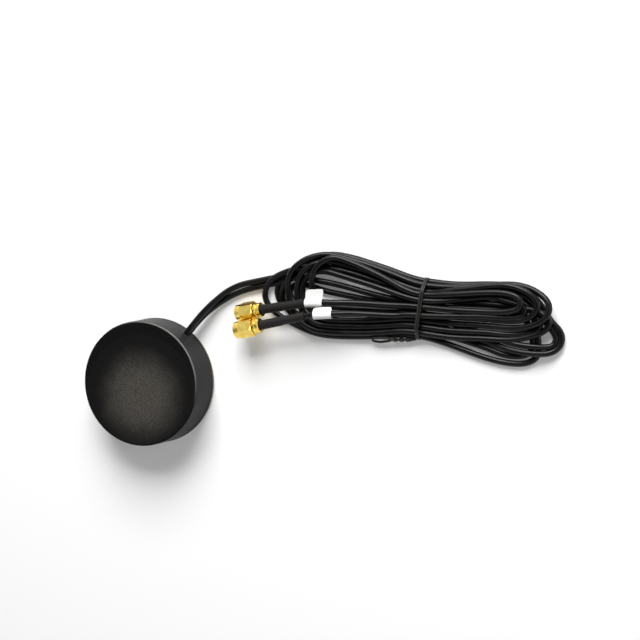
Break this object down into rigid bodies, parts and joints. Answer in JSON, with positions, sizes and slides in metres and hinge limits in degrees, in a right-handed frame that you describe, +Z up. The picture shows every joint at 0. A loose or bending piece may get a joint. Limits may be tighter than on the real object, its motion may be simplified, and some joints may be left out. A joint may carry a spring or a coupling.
{
  "type": "gps antenna",
  "caption": "Round low puck antenna for satellite and mobile radio, with a pair of thin coaxial cables tied in a hank and ending in gold threaded plugs",
  "frame": {"origin": "centre of the round adhesive face under the puck, on the surface it sticks to", "axes": "+Z up through the cover along the puck's axis; +Y the way both cables leave the puck's wall; +X completes the right-handed set"},
  "size_m": [0.1698, 0.1795, 0.0194],
  "materials": {
    "cover_plastic": "fine textured moulded plastic, dark charcoal",
    "base_plastic": "smooth moulded plastic, black",
    "liner": "waxed release paper, tan",
    "foam_tape": "closed-cell foam tape, dark grey",
    "seal_rubber": "soft moulded rubber, black",
    "screw_steel": "zinc-plated steel",
    "board": "green coated glass-fibre laminate",
    "tinned_metal": "bright tinned sheet",
    "patch_ceramic": "pale beige fired ceramic with silvered top",
    "cable_jacket": "smooth flexible jacket, black, half gloss",
    "tie_plastic": "flat plastic-coated wire, black",
    "label_paper": "bare white self-adhesive paper",
    "gold_plate": "bright gold-plated turned brass",
    "gasket_rubber": "silicone rubber, brick red",
    "insulator_white": "translucent white fluoroplastic",
    "sleeve": "matt shrunk tubing, black"
  },
  "bodies": {
    "antenna": {"release_liner": "liner", "adhesive_pad": "foam_tape", "base_plate": "base_plastic", "cover": "cover_plastic", "seal_ring": "seal_rubber", "base_screws": "screw_steel", "board_screws": "screw_steel", "clamp_screws": "screw_steel", "cable_clamp": "base_plastic", "cable_grommet": "seal_rubber", "antenna_board": "board", "shield_can": "tinned_metal", "patch_tape": "foam_tape", "gps_patch": "patch_ceramic", "patch_pin": "tinned_metal", "cellular_element": "tinned_metal", "coax_end_1": "cable_jacket", "coax_end_2": "cable_jacket", "cable_lead_1": "cable_jacket", "cable_lead_2": "cable_jacket", "cable_hank": "cable_jacket", "cable_tail_1": "cable_jacket", "cable_tail_2": "cable_jacket", "cable_tie": "tie_plastic", "cable_label_1": "label_paper", "cable_label_2": "label_paper", "plug_body_1": "gold_plate", "snap_ring_1": "gold_plate", "plug_gasket_1": "gasket_rubber", "centre_contact_1": "gold_plate", "plug_insulator_1": "insulator_white", "crimp_ferrule_1": "gold_plate", "shrink_sleeve_1": "sleeve", "plug_body_2": "gold_plate", "snap_ring_2": "gold_plate", "plug_gasket_2": "gasket_rubber", "centre_contact_2": "gold_plate", "plug_insulator_2": "insulator_white", "crimp_ferrule_2": "gold_plate", "shrink_sleeve_2": "sleeve"},
    "nut_1": {"coupling_nut_1": "gold_plate"},
    "nut_2": {"coupling_nut_2": "gold_plate"}
  },
  "joints": [
    {"name": "nut_1_spin", "type": "hinge", "parent": "antenna", "child": "nut_1", "pos_m": [0.01786, 0.05827, 0.00589], "axis": [0.6638, 0.7295, 0.165], "continuous": true},
    {"name": "nut_2_spin", "type": "hinge", "parent": "antenna", "child": "nut_2", "pos_m": [0.02353, 0.0534, 0.01092], "axis": [0.63, 0.7697, 0.1028], "continuous": true}
  ]
}
